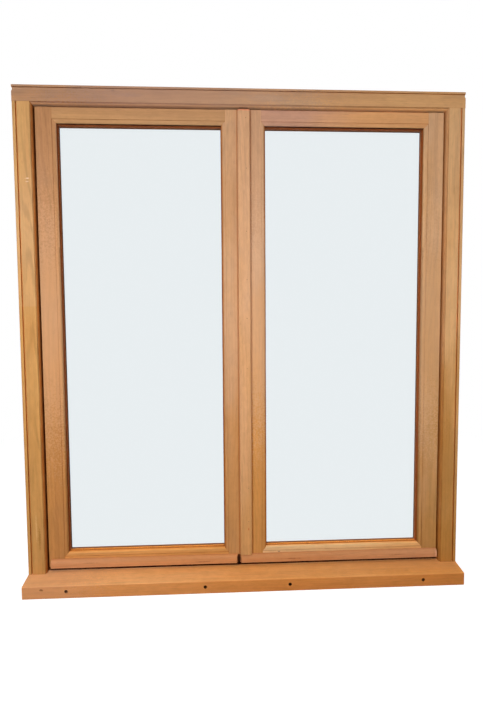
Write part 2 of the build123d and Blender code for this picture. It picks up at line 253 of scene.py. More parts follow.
def make_sawn_end():
    """End grain where a face looks along the board: darker, browner, dotted with cut pores."""
    tree, given, out = new_group(
        "sawn_end",
        [
            ("Place", "NodeSocketVector", None),
            ("Grain way", "NodeSocketVector", (1, 0, 0)),
            ("Colour", "NodeSocketColor", None),
        ],
        [("Colour", "NodeSocketColor")],
    )
    facing = measure_of(tree, "DOT_PRODUCT", true_normal(tree), given["Grain way"])
    end = ramp(tree, reckon(tree, "ABSOLUTE", facing), 0.80, 0.92)
    rings = stretched_noise(tree, given["Place"], (1.0, 30.0, 420.0), 3.0, 0.6, 0.8)
    dots = stretched_noise(tree, given["Place"], (1.0, 1800.0, 1800.0), 1.0)
    dark = product(tree, ramp(tree, rings, 0.3, 0.7, 0.56, 0.74), ramp(tree, dots, 0.6, 0.72, 1.0, 0.7))
    sawn = blend(tree, 1.0, given["Colour"], grey_of(tree, dark), "MULTIPLY")
    hook(tree, [(blend(tree, end, given["Colour"], sawn), out["Colour"])])
    return tree


def make_painted_light_and_tone():
    """Painted light and shade, and one real tone of the wood, on the part of a board inside a box, on the
    faces that look one way or on all of them.

    Bare goes from 0 to 1, from varnished wood to wood without gloss, and rises wherever the tint is laid.
    """
    tree, given, out = new_group(
        "painted_light_and_tone",
        [
            ("Place", "NodeSocketVector", None),
            ("Colour", "NodeSocketColor", None),
            ("Low", "NodeSocketVector", (-9, -9, -9)),
            ("High", "NodeSocketVector", (9, 9, 9)),
            ("Way", "NodeSocketVector", (0, 0, 0)),
            ("Every way", "NodeSocketFloat", 0.0),
            ("Stain", "NodeSocketColor", None),
            ("Evenness", "NodeSocketFloat", 0.85),
            ("Bare", "NodeSocketFloat", 0.0),
        ],
        [("Colour", "NodeSocketColor"), ("Bare", "NodeSocketFloat")],
    )
    above = vector_of(tree, "SUBTRACT", given["Place"], given["Low"])
    below = vector_of(tree, "SUBTRACT", given["High"], given["Place"])
    edges = [ramp(tree, side, -0.0003, 0.0003) for v in (above, below) for side in split(tree, v)]
    facing = measure_of(tree, "DOT_PRODUCT", true_normal(tree), given["Way"])
    looks = reckon(tree, "MAXIMUM", ramp(tree, facing, 0.30, 0.60), given["Every way"])
    uneven = stretched_noise(tree, given["Place"], (30.0, 30.0, 30.0), 4.0, 0.6)
    share = product(tree, *edges, looks, ramp(tree, uneven, 0.35, 0.65, given["Evenness"], 1.0))
    tinted = blend(tree, 1.0, given["Colour"], given["Stain"], "MULTIPLY")
    hook(tree, [
        (blend(tree, share, given["Colour"], tinted), out["Colour"]),
        (reckon(tree, "MAXIMUM", share, given["Bare"]), out["Bare"]),
    ])
    return tree


def make_small_mark():
    """A soft uneven oval round a centre that takes another tone, for knots, specks and scratches, and for
    painted highlights and pools of painted light.
    """
    tree, given, out = new_group(
        "small_mark",
        [
            ("Place", "NodeSocketVector", None),
            ("Colour", "NodeSocketColor", None),
            ("Centre", "NodeSocketVector", (0, 0, 0)),
            ("Reach", "NodeSocketVector", (0.01, 0.01, 0.01)),
            ("Mark", "NodeSocketColor", None),
            ("Amount", "NodeSocketFloat", 1.0),
        ],
        [("Colour", "NodeSocketColor")],
    )
    away = vector_of(tree, "SUBTRACT", given["Place"], given["Centre"])
    far = measure_of(tree, "LENGTH", vector_of(tree, "DIVIDE", away, given["Reach"]))
    uneven = stretched_noise(tree, given["Place"], (260.0, 260.0, 260.0), 3.0)
    far = reckon(tree, "ADD", far, ramp(tree, uneven, 0.3, 0.7, -0.25, 0.25))
    share = product(tree, ramp(tree, far, 1.0, 0.35), given["Amount"])
    hook(tree, [(blend(tree, share, given["Colour"], given["Mark"]), out["Colour"])])
    return tree


def make_shaded_arris():
    """Painted shade along sharp edges and creases: a mask from how far the bevelled normal leans from the
    true one.
    """
    tree, given, out = new_group(
        "shaded_arris",
        [
            ("Place", "NodeSocketVector", None),
            ("Colour", "NodeSocketColor", None),
            ("Edge stain", "NodeSocketColor", None),
            ("Reach", "NodeSocketFloat", 1.0),
        ],
        [("Colour", "NodeSocketColor")],
    )
    rounded = put(tree, "ShaderNodeBevel", {"Radius": 0.0018}, samples=8).outputs[0]
    lean = measure_of(tree, "DOT_PRODUCT", true_normal(tree), rounded)
    uneven = ramp(tree, stretched_noise(tree, given["Place"], (14.0, 14.0, 14.0), 4.0), 0.3, 0.7, 0.55, 1.0)
    near_edge = product(tree, ramp(tree, lean, 0.995, 0.86), uneven)
    edge = reckon(tree, "MULTIPLY", near_edge, given["Reach"], clamp=True)
    tinted = blend(tree, 1.0, given["Colour"], given["Edge stain"], "MULTIPLY")
    hook(tree, [(blend(tree, edge, given["Colour"], tinted), out["Colour"])])
    return tree


def make_handled_varnish():
    """Roughness and coat of a brushed varnish, dulled in patches and lost where the wood is bare."""
    tree, given, out = new_group(
        "handled_varnish",
        [
            ("Place", "NodeSocketVector", None),
            ("Loss", "NodeSocketFloat", 0.0),
            ("Bare", "NodeSocketFloat", 0.0),
        ],
        [("Roughness", "NodeSocketFloat"), ("Coat", "NodeSocketFloat")],
    )
    patches = stretched_noise(tree, given["Place"], (5.0, 14.0, 14.0), 4.0, 0.6)
    brushed = stretched_noise(tree, given["Place"], (7.0, 380.0, 380.0), 2.0)
    dull = ramp(tree, patches, 0.3, 0.7, 0.40, 0.54)
    dull = reckon(tree, "ADD", dull, ramp(tree, brushed, 0.3, 0.7, 0.0, 0.08))
    dull = reckon(tree, "ADD", dull, reckon(tree, "MULTIPLY", given["Loss"], 0.2), clamp=True)
    dull = reckon(tree, "ADD", dull, reckon(tree, "MULTIPLY", given["Bare"], 0.35), clamp=True)
    covered = ramp(tree, given["Bare"], 0.0, 1.0, 1.0, 0.0)
    coat = product(tree, ramp(tree, patches, 0.3, 0.75, 0.16, 0.05), covered)
    hook(tree, [(dull, out["Roughness"]), (coat, out["Coat"])])
    return tree


growth_rings = make_growth_rings()
board_figure = make_board_figure()
sawn_end = make_sawn_end()
painted_light_and_tone = make_painted_light_and_tone()
small_mark = make_small_mark()
shaded_arris = make_shaded_arris()
handled_varnish = make_handled_varnish()


# The boards: way of the grain, tones at both ends, streak, greying, ring strength, heart side and depth

BOARDS = {
    "head": ("x", (188, 143, 105), (214, 167, 116), 0.7, 0.7, 0.4, 0.030, 0.060),
    "jamb_left": ("z", (200, 151, 93), (213, 166, 108), 0.6, 0.2, 0.8, 0.012, 0.045),
    "jamb_right": ("z", (190, 135, 67), (224, 179, 129), 0.7, 0.2, 0.4, -0.060, 0.080),
    "sill": ("x", (220, 151, 89), (209, 134, 66), 0.5, 0.0, 0.2, 0.020, 0.140),
    "astragal": ("z", (205, 152, 96), (213, 167, 128), 0.5, 0.2, 0.3, 0.050, 0.060),
    "left_drip_bar": ("x", (209, 147, 100), (206, 142, 91), 0.6, 0.1, 0.3, 0.030, 0.060),
    "right_drip_bar": ("x", (198, 136, 88), (203, 145, 101), 0.6, 0.1, 0.3, 0.030, 0.060),
    "left_sash_stile_left": ("z", (190, 133, 76), (189, 140, 97), 0.7, 0.3, 0.4, 0.050, 0.070),
    "left_sash_stile_right": ("z", (194, 141, 87), (206, 163, 124), 0.6, 0.3, 0.4, -0.040, 0.070),
    "left_sash_rail_top": ("x", (197, 151, 104), (194, 150, 107), 0.6, 0.2, 0.4, 0.040, 0.060),
    "left_sash_rail_bottom": ("x", (219, 154, 89), (210, 148, 82), 0.7, 0.1, 0.4, 0.040, 0.060),
    "right_sash_stile_left": ("z", (204, 144, 78), (205, 163, 128), 0.6, 0.2, 0.4, 0.060, 0.060),
    "right_sash_stile_right": ("z", (190, 139, 78), (217, 174, 132), 0.7, 0.3, 0.5, -0.050, 0.070),
    "right_sash_rail_top": ("x", (196, 151, 127), (219, 164, 112), 0.7, 0.2, 0.4, 0.040, 0.060),
    "right_sash_rail_bottom": ("x", (225, 184, 134), (224, 169, 110), 0.7, 0.1, 0.4, 0.040, 0.060),
}
BEAD = ((205, 150, 105), (212, 158, 110), 0.8, 0.2, 0.3, 0.050, 0.050)

LEFT, RIGHT, UP, DOWN = (-1, 0, 0), (1, 0, 0), (0, 0, 1), (0, 0, -1)
GRAIN_WAYS = {"x": RIGHT, "z": UP}
GRAIN_TURNS = {"x": (0, 0, 0), "z": (0, math.radians(90), 0)}
DULL_SPECULAR = 0.04
GLASS_IOR = 1.18

# Painted light and shade as shares of red, green and blue that a face keeps, and one real tone of the wood

# Painted shade along sharp edges and creases
ARRIS = (0.76, 0.54, 0.34)
# Painted shade in the gaps beside the sashes
GAP = (0.30, 0.16, 0.10)
# Painted light in the gap between the head and the sashes, lifting its shadow
HEAD_GAP = (1.35, 1.50, 1.70)
# Painted light along the sash rails' top edges under the head
HEAD_ARRIS = (1.20, 1.28, 1.38)
# Painted light in the frame's outer groove, lifting its shadow
GROOVE = (1.25, 1.10, 0.95)
# Finish gathered in the quirks, and painted shade there
QUIRK = (0.40, 0.24, 0.16)
# Painted shade on the meeting stiles' mouldings, which turn away from the light
MOULD = (0.82, 0.58, 0.36)
# Painted shade on reveals that face right, away from the lamps on the left
LEFT_REVEAL = (0.34, 0.15, 0.07)
# Painted shade, lighter, on reveals that face left
RIGHT_REVEAL = (0.70, 0.52, 0.34)
# Painted shadow, near black, at the front of the top reveals
TOP_REVEAL_FRONT = (0.04, 0.02, 0.03)
# Painted shade on the top reveals
TOP_REVEAL = (0.60, 0.34, 0.18)
# Painted light on the bottom reveals, which face up
BOTTOM_REVEAL = (1.45, 1.30, 1.05)
# Painted shadow under the drip bars, in their joint and in the slot in the head
UNDER_BAR = (0.06, 0.035, 0.03)
# Painted shade, near black, inside the weep holes
HOLE = (0.010, 0.006, 0.005)
BELOW_JOINT = (0.98, 0.95, 0.86)
# Painted light on the sill's top in front of the drip bars
SILL_TOP_LIGHT = (1.32, 1.60, 2.00)
LIT_OVOLO = (1.30, 1.30, 1.25)
# Painted highlight on the upper moulding of the left sash's outer stile
PALE_HIGHLIGHT = (1.15, 1.22, 1.45)
SHADED_OVOLO = (0.72, 0.70, 0.68)
# Painted highlight along the bottom rails' mouldings
CREAM_HIGHLIGHT = (1.24, 1.28, 1.28)
# Painted shadow on the stiles beside the astragal
ASTRAGAL_FOOT = (0.80, 0.66, 0.58)
# Painted shade, lighter, in the gap on the right
RIGHT_GAP = (0.88, 0.62, 0.46)
# Painted shade on the left jamb's moulding, which faces away from the lamps
LEFT_OVOLO = (0.80, 0.50, 0.32)
# Painted shade on the right jamb's moulding
RIGHT_OVOLO = (0.82, 0.72, 0.68)
# Painted shade in the top of the drip bars' joint
JOINT_TOP = (0.42, 0.16, 0.10)
# Painted highlight on the drip bars' lower edges
BAR_ARRIS = (1.35, 1.35, 1.50)
# Painted light line on the sill just in front of the drip bars' shadow
SILL_LINE = (1.10, 1.15, 1.40)
# Painted highlight on the astragal's top end
ASTRAGAL_HEAD = (1.15, 0.80, 0.78)

# Painted light and shade on the small pieces beside the glass, by the way that a face looks: shade facing
# right, left and down, light facing up

FACE_PAINTED_LIGHT = (
    (RIGHT, (0.72, 0.40, 0.14)),
    (LEFT, (0.80, 0.52, 0.32)),
    (DOWN, (0.75, 0.58, 0.60)),
    (UP, (2.00, 1.90, 1.10)),
)

# Limits of the painted boxes in metres: depths behind the frame's outer face, heights and sides

LOWEST, HIGHEST = -9, 9
FRAME_QUIRK_DEPTHS, FRAME_OVOLO_DEPTHS = (0.0003, 0.0028), (0.0028, 0.0112)
FRAME_GAP_DEPTHS = (0.0112, 0.0560)
GROOVE_DEPTHS, GROOVE_HEIGHTS, GROOVE_SIDES = (0.0004, 0.0060), (1.3320, 1.3350), (0.5895, 0.5850)
SASH_FRONT_DEPTHS, SASH_QUIRK_DEPTHS, SASH_GAP_DEPTHS = (0.009, 0.0112), (0.0102, 0.0114), (0.0115, 0.0560)
REVEAL_FRONT, TOP_SHADE_FRONT, TOP_SHADE_BACK, REVEAL_BACK = 0.0175, 0.0155, 0.0240, 0.0490
OVOLO_FRONT, MOULD_FRONT, PALE_FRONT = 0.0112, 0.0125, 0.0135
SILL_LINE_FRONT, SILL_SHADE_FRONT, SILL_SHADE_BACK = 0.0120, 0.0162, 0.0560
UNDER_BAR_TOP, BAR_ARRIS_TOP, BAR_JOINT_MIDDLE, JOINT_SHADE_TOP = 0.0593, 0.0612, 0.0735, 0.0790
JAMB_JOINT, OVOLO_TURN, ASTRAGAL_HEAD_FOOT, HEAD_ARRIS_FOOT = 0.773, 0.93, 1.2830, 1.2872
BAR_JOINT_SIDES, JOINT_SHADE_SIDES = (-0.0245, -0.0172), (-0.0240, -0.0176)
ASTRAGAL_LEFT_FOOT, ASTRAGAL_RIGHT_FOOT = (-0.0205, -0.0165), (0.0155, 0.0195)


def region(x=(LOWEST, HIGHEST), y=(LOWEST, HIGHEST), z=(LOWEST, HIGHEST)):
    """Low and high corner of a box that is open on the axes left out."""
    return tuple(zip(x, y, z))


HEAD_SLOT = region(x=(-0.0120, 0.0110), y=(LOWEST, 0.0120), z=(LOWEST, 1.2942))
WEEP_HOLES = region(x=(-0.5200, 0.5200), y=(-0.0502, 0.0200), z=(0.0135, 0.0245))

# Painted light and shade of the boards by the end of their names: box, way that the painted faces look,
# shares kept

PAINTED_LIGHT_BY_ENDING = {
    "sill": [
        (region(y=(LOWEST, SILL_SHADE_FRONT)), UP, SILL_TOP_LIGHT),
        (region(y=(SILL_LINE_FRONT, SILL_SHADE_FRONT)), UP, SILL_LINE),
        (region(y=(SILL_SHADE_FRONT, SILL_SHADE_BACK)), UP, UNDER_BAR),
        (WEEP_HOLES, None, HOLE),
    ],
    "astragal": [(region(z=(ASTRAGAL_HEAD_FOOT, HIGHEST)), None, ASTRAGAL_HEAD)],
    "drip_bar": [
        (region(x=BAR_JOINT_SIDES, z=(LOWEST, BAR_JOINT_MIDDLE)), LEFT, UNDER_BAR),
        (region(x=BAR_JOINT_SIDES, z=(LOWEST, BAR_JOINT_MIDDLE)), RIGHT, UNDER_BAR),
        (region(x=BAR_JOINT_SIDES, z=(BAR_JOINT_MIDDLE, HIGHEST)), LEFT, JOINT_TOP),
        (region(x=BAR_JOINT_SIDES, z=(BAR_JOINT_MIDDLE, HIGHEST)), RIGHT, JOINT_TOP),
        (region(z=(LOWEST, BAR_ARRIS_TOP)), None, BAR_ARRIS),
    ],
    "rail_top": [
        (region(y=(TOP_SHADE_FRONT, TOP_SHADE_BACK)), DOWN, TOP_REVEAL_FRONT),
        (region(y=(TOP_SHADE_BACK, REVEAL_BACK)), DOWN, TOP_REVEAL),
        (region(y=SASH_QUIRK_DEPTHS), DOWN, QUIRK),
        (region(y=SASH_GAP_DEPTHS), UP, HEAD_GAP),
        (region(y=(LOWEST, SASH_GAP_DEPTHS[0]), z=(HEAD_ARRIS_FOOT, HIGHEST)), None, HEAD_ARRIS),
    ],
    "rail_bottom": [
        (region(y=(REVEAL_FRONT, REVEAL_BACK)), UP, BOTTOM_REVEAL),
        (region(y=SASH_QUIRK_DEPTHS), UP, QUIRK),
        (region(y=(PALE_FRONT, REVEAL_FRONT)), UP, CREAM_HIGHLIGHT),
        (region(z=(LOWEST, UNDER_BAR_TOP)), None, UNDER_BAR),
    ],
    "bead_left": [(region(y=(0.0, REVEAL_BACK)), RIGHT, LEFT_REVEAL)],
    "bead_right": [(region(y=(0.0, REVEAL_BACK)), LEFT, RIGHT_REVEAL)],
    "bead_top": [(region(y=(0.0, REVEAL_BACK)), DOWN, TOP_REVEAL)],
    "bead_bottom": [(region(y=(0.0, REVEAL_BACK)), UP, BOTTOM_REVEAL)],
}


def head_or_jamb_light_and_tone(name, inwards, gap, ovolo):
    """Painted light and shade of the head or of a jamb, from the gap beside the sashes out to the groove, and
    the left jamb's own tone below its joint.
    """
    tints = [
        (region(y=FRAME_GAP_DEPTHS), inwards, gap),
        (region(y=FRAME_QUIRK_DEPTHS), inwards, QUIRK),
        (region(y=FRAME_OVOLO_DEPTHS), inwards, ovolo),
    ]
    if name == "head":
        tints.append((region(y=GROOVE_DEPTHS, z=GROOVE_HEIGHTS), None, GROOVE))
        tints.append((HEAD_SLOT, None, UNDER_BAR))
        return tints
    side = -1 if name == "jamb_left" else 1
    groove_sides = sorted(side * edge for edge in GROOVE_SIDES)
    tints.append((region(x=groove_sides, y=GROOVE_DEPTHS), None, GROOVE))
    if name == "jamb_left":
        tints.append((region(z=(LOWEST, JAMB_JOINT)), None, BELOW_JOINT))
    return tints


def stile_painted_light(name):
    """Painted light and shade of a sash's stile, on its reveal, its moulding and its outer edge."""
    inwards, outwards, tone, foot = (
        (RIGHT, LEFT, LEFT_REVEAL, ASTRAGAL_RIGHT_FOOT)
        if name.endswith("left")
        else (LEFT, RIGHT, RIGHT_REVEAL, ASTRAGAL_LEFT_FOOT)
    )
    tints = [
        (region(y=(REVEAL_FRONT, REVEAL_BACK)), inwards, tone),
        (region(y=SASH_QUIRK_DEPTHS), inwards, QUIRK),
    ]
    if name in ("left_sash_stile_right", "right_sash_stile_left"):
        tints.append((region(y=(MOULD_FRONT, REVEAL_FRONT)), inwards, MOULD))
        tints.append((region(x=foot, y=SASH_FRONT_DEPTHS), None, ASTRAGAL_FOOT))
    else:
        low_part, high_part = (LOWEST, OVOLO_TURN), (OVOLO_TURN, HIGHEST)
        tints.append((region(y=(OVOLO_FRONT, REVEAL_FRONT), z=low_part), inwards, SHADED_OVOLO))
        if name == "left_sash_stile_left":
            tints.append((region(y=(PALE_FRONT, REVEAL_FRONT), z=high_part), inwards, PALE_HIGHLIGHT))
        tints.append((region(y=SASH_GAP_DEPTHS), outwards, GAP))
    tints.append((region(z=(LOWEST, UNDER_BAR_TOP)), None, UNDER_BAR))
    if name == "left_sash_stile_right":
        beside_joint = region(x=JOINT_SHADE_SIDES, y=SASH_FRONT_DEPTHS, z=(LOWEST, JOINT_SHADE_TOP))
        tints.append((beside_joint, None, UNDER_BAR))
    return tints


def board_light_and_tone(name):
    """The painted light and shade of one board, and the left jamb's own tone, in the order that they are laid
    on.
    """
    frame_looks = {
        "head": (DOWN, HEAD_GAP, LIT_OVOLO),
        "jamb_left": (RIGHT, GAP, LEFT_OVOLO),
        "jamb_right": (LEFT, RIGHT_GAP, RIGHT_OVOLO),
    }
    if name in frame_looks:
        return head_or_jamb_light_and_tone(name, *frame_looks[name])
    if "_stile_" in name:
        return stile_painted_light(name)
    return next(tints for ending, tints in PAINTED_LIGHT_BY_ENDING.items() if name.endswith(ending))


# Marks: centre, reach along each axis, tone, amount

MARKS = {
    "head": [
        ((-0.339, 0.0, 1.3290), (0.0080, 0.01, 0.0032), (132, 96, 78), 0.7),
        ((-0.300, 0.0, 1.3180), (0.0450, 0.01, 0.0080), (168, 132, 122), 0.35),
        ((0.060, 0.0, 1.3160), (0.0700, 0.01, 0.0120), (196, 164, 140), 0.35),
        ((-0.150, 0.0, 1.3180), (0.4600, 0.20, 0.2000), (170, 134, 120), 0.50),
    ],
    "jamb_left": [
        ((-0.5640, 0.0, 1.1040), (0.0075, 0.01, 0.0022), (240, 206, 172), 0.8),
        ((-0.5650, 0.0, 1.0960), (0.0060, 0.01, 0.0020), (240, 206, 172), 0.6),
        ((-0.5640, 0.0, 0.1450), (0.0040, 0.01, 0.0420), (150, 104, 52), 0.6),
        ((-0.5720, 0.0, 0.1750), (0.0030, 0.01, 0.0500), (222, 178, 118), 0.5),
        ((-0.5700, 0.0, 0.7000), (0.0300, 0.03, 0.0600), (190, 124, 58), 0.2),
    ],
    "sill": [
        ((-0.600, -0.0300, 0.0300), (0.2600, 0.30, 0.3000), (216, 156, 116), 0.4),
        ((-0.547, -0.0505, 0.0250), (0.0060, 0.01, 0.0036), (120, 66, 36), 0.8),
        ((0.450, -0.0100, 0.0500), (0.4000, 0.05, 0.0200), (226, 160, 104), 0.4),
    ],
    "right_sash_rail_bottom": [((0.092, 0.010, 0.0840), (0.0056, 0.02, 0.0026), (136, 104, 84), 0.7)],
    "jamb_right": [((0.572, 0.0, 0.33), (0.0300, 0.03, 0.1600), (170, 118, 60), 0.4)],
    "left_drip_bar": [
        # Painted highlight on the bar's outer end
        ((-0.5390, -0.002, 0.0700), (0.0040, 0.03, 0.0140), (236, 180, 144), 0.7),
        ((-0.1200, -0.002, 0.0660), (0.0300, 0.03, 0.0016), (150, 92, 62), 0.6),
        ((-0.4300, -0.002, 0.0720), (0.0300, 0.03, 0.0014), (160, 98, 66), 0.5),
    ],
    "right_drip_bar": [
        # Painted highlight on the bar's outer end
        ((0.5390, -0.002, 0.0700), (0.0040, 0.03, 0.0140), (226, 166, 128), 0.7),
        ((0.1300, -0.002, 0.0680), (0.0340, 0.03, 0.0016), (140, 80, 52), 0.6),
        ((0.4300, -0.002, 0.0700), (0.0300, 0.03, 0.0014), (138, 84, 54), 0.5),
    ],
    # Painted pools of light at mid-height of three stiles, where the lamps fall brightest
    "left_sash_stile_left": [((-0.5175, 0.0, 0.72), (0.2, 0.2, 0.42), (228, 174, 128), 0.36)],
    "right_sash_stile_left": [((0.0400, 0.0, 0.72), (0.2, 0.2, 0.42), (224, 184, 150), 0.30)],
    "right_sash_stile_right": [((0.5175, 0.0, 0.72), (0.2, 0.2, 0.42), (226, 180, 142), 0.34)],
    "astragal": [((0.0064, -0.001, 0.1552), (0.0016, 0.01, 0.0065), (190, 96, 56), 0.8)],
}


def board_material(name, way, tones, streak, greying, ring_strength, heart, seed):
    """Varnished hardwood for one board, with its own tones and its own place in the figure."""
    low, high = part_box(name)
    axis = 0 if way == "x" else 2
    material, tree, shader, place = begin_material(name + "_hardwood")
    middle = [(a + b) / 2 for a, b in zip(low, high)]
    middle[1] = low[1]
    centred = vector_of(tree, "SUBTRACT", place, middle)
    board = put(tree, "ShaderNodeMapping", {"Vector": centred, "Rotation": GRAIN_TURNS[way]}).outputs[0]
    start = np.random.default_rng(seed).uniform(-4, 4, 3).tolist()
    figured = vector_of(tree, "ADD", board, start)
    run = ramp(tree, split(tree, place)[axis], low[axis], high[axis], smooth=False)
    ring = use_group(tree, growth_rings, {
        "Board": board, "Place": figured, "Heart side": heart[0], "Heart depth": heart[1],
    })["Ring"]
    figure = use_group(tree, board_figure, {
        "Place": figured,
        "Run": run,
        "First tone": linear(*tones[0]),
        "Last tone": linear(*tones[1]),
        "Streak": streak,
        "Ring": ring,
        "Ring strength": ring_strength,
        "Greying": greying,
    })
    colour = use_group(tree, sawn_end, {
        "Place": figured, "Grain way": GRAIN_WAYS[way], "Colour": figure["Colour"],
    })["Colour"]
    # Painted shade along the board's sharp edges and creases
    edged = use_group(tree, shaded_arris, {
        "Place": figured, "Colour": colour, "Edge stain": (*ARRIS, 1), "Reach": 0.7,
    })
    colour, bare = edged["Colour"], 0.0
    # Painted light and shade laid box by box, and on the left jamb its own tone below the joint
    for (box_low, box_high), faces, tint in board_light_and_tone(name):
        tinted = use_group(tree, painted_light_and_tone, {
            "Place": place,
            "Colour": colour,
            "Bare": bare,
            "Low": box_low,
            "High": box_high,
            "Way": faces or (0, 0, 0),
            "Every way": 0.0 if faces else 1.0,
            "Stain": (*tint, 1),
        })
        colour, bare = tinted["Colour"], tinted["Bare"]
    # Marks: tones of knots and specks, and painted highlights and pools of light
    for centre, reach, tone, amount in MARKS.get(name, ()):
        colour = use_group(tree, small_mark, {
            "Place": place, "Colour": colour, "Centre": centre, "Reach": reach,
            "Mark": linear(*tone), "Amount": amount,
        })["Colour"]
    varnish = use_group(tree, handled_varnish, {
        "Place": figured, "Loss": figure["Sheen loss"], "Bare": bare,
    })
    bump = put(tree, "ShaderNodeBump", {"Height": figure["Height"], "Strength": 0.25, "Distance": 0.0003})
    hook(tree, [
        (colour, shader.inputs["Base Color"]),
        (varnish["Roughness"], shader.inputs["Roughness"]),
        (varnish["Coat"], shader.inputs["Coat Weight"]),
        (bump.outputs[0], shader.inputs["Normal"]),
    ])
    shader.inputs["Coat Roughness"].default_value = 0.25
    shader.inputs["Specular IOR Level"].default_value = DULL_SPECULAR
    return material


def finish_boards():
    """A material of its own for each board and glazing bead."""
    boards = dict(BOARDS)
    for name in parts:
        if "_bead_" in name:
            way = "z" if name.endswith(("left", "right")) else "x"
            boards[name] = (way, *BEAD)
    for seed, name in enumerate(sorted(boards)):
        way, low_tone, high_tone, streak, greying, ring_strength, side, depth = boards[name]
        material = board_material(
            name, way, (low_tone, high_tone), streak, greying, ring_strength, (side, depth), seed
        )
        for slot in parts[name].material_slots:
            slot.material = material


finish_boards()


# Glass and spacer bars

def make_pane_marks():
    """Faint wipe marks on glass as roughness, and the slow roll of float glass as height."""
    tree, given, out = new_group(
        "pane_marks",
        [("Place", "NodeSocketVector", None)],
        [("Roughness", "NodeSocketFloat"), ("Height", "NodeSocketFloat")],
    )
    wiped = stretched_noise(tree, given["Place"], (7.0, 7.0, 3.0), 4.0, 0.6, 1.2)
    rolled = stretched_noise(tree, given["Place"], (1.2, 1.2, 4.5), 1.0)
    hook(tree, [(ramp(tree, wiped, 0.5, 0.8, 0.0, 0.04), out["Roughness"]), (rolled, out["Height"])])
    return tree


def glass_material():
    """Clear float glass, a little blue-grey in its depth."""
    material, tree, shader, place = begin_material("float_glass")
    marks = use_group(tree, make_pane_marks(), {"Place": place})
    bump = put(tree, "ShaderNodeBump", {"Height": marks["Height"], "Strength": 0.05, "Distance": 0.0005})
    hook(tree, [(marks["Roughness"], shader.inputs["Roughness"]), (bump.outputs[0], shader.inputs["Normal"])])
    shader.inputs["Base Color"].default_value = (0.90, 0.925, 0.935, 1)
    shader.inputs["Transmission Weight"].default_value = 1.0
    shader.inputs["IOR"].default_value = GLASS_IOR
    return material


def paint_light_on_faces(tree, place, colour):
    """The reveals' painted light and shade carried on over a small piece, by the way that each of its faces
    looks.
    """
    for way, tint in FACE_PAINTED_LIGHT:
        colour = use_group(tree, painted_light_and_tone, {
            "Place": place, "Colour": colour, "Way": way, "Stain": (*tint, 1),
        })["Colour"]
    return colour


def spacer_material():
    """Matt brown spacer bar with a row of breather holes along the middle of its face."""
    material, tree, shader, place = begin_material("brown_spacer")
    grain = stretched_noise(tree, place, (160.0, 160.0, 160.0), 3.0)
    tone = blend(tree, ramp(tree, grain, 0.3, 0.7), linear(170, 100, 50), linear(186, 114, 60))
    looks_across = reckon(tree, "ABSOLUTE", split(tree, true_normal(tree))["X"])
    sideways = reckon(tree, "GREATER_THAN", looks_across, 0.5)
    across, deep, up = split(tree, place)
    along = reckon(tree, "ADD", product(tree, up, sideways), product(
        tree, across, reckon(tree, "SUBTRACT", 1.0, sideways)
    ))
    hole_pitch, bar_middle = 0.006, 0.034
    step = reckon(tree, "PINGPONG", along, hole_pitch / 2)
    middle = reckon(tree, "SUBTRACT", deep, bar_middle)
    squares = reckon(tree, "ADD", product(tree, step, step), product(tree, middle, middle))
    far = reckon(tree, "SQRT", squares)
    hole = ramp(tree, far, 0.0009, 0.0005)
    # Painted light and shade by the way each face looks, then the breather holes
    tone = blend(tree, hole, paint_light_on_faces(tree, place, tone), linear(24, 12, 8))
    hook(tree, [
        (tone, shader.inputs["Base Color"]),
        (ramp(tree, grain, 0.3, 0.7, 0.5, 0.65), shader.inputs["Roughness"]),
    ])
    shader.inputs["Specular IOR Level"].default_value = DULL_SPECULAR
    return material


glass, spacer = glass_material(), spacer_material()
for name, part in parts.items():
    if "_pane_" in name or name.endswith("_spacer"):
        for slot in part.material_slots:
            slot.material = glass if "_pane_" in name else spacer
    if "_pane_" in name:
        part.visible_shadow = False


# Small pieces that the solids leave out

def mesh_piece(name, points, faces, material):
    """A closed mesh from an array of points and one of faces, turned so that its volume is positive."""
    corners = points[faces[:, :3]]
    volume = np.einsum("ij,ij->i", corners[:, 0], np.cross(corners[:, 1], corners[:, 2])).sum()
    if faces.shape[1] == 4:
        others = points[faces[:, [0, 2, 3]]]
        volume += np.einsum("ij,ij->i", others[:, 0], np.cross(others[:, 1], others[:, 2])).sum()
    if volume < 0:
        faces = faces[:, ::-1]
    mesh = bpy.data.meshes.new(name)
    mesh.from_pydata(points.tolist(), [], faces.tolist())
    mesh.polygons.foreach_set("use_smooth", np.ones(len(mesh.polygons), dtype=bool))
    mesh.set_sharp_from_angle(angle=math.radians(50))
    mesh.materials.append(material)
    piece = bpy.data.objects.new(name, mesh)
    bpy.context.scene.collection.objects.link(piece)
    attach(piece, "root")
    return piece


def sash_opening(sash):
    """Sight edges of a sash's opening: left, right, bottom and top."""
    return (
        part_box(sash + "_stile_left")[1][0],
        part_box(sash + "_stile_right")[0][0],
        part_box(sash + "_rail_bottom")[1][2],
        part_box(sash + "_rail_top")[0][2],
    )


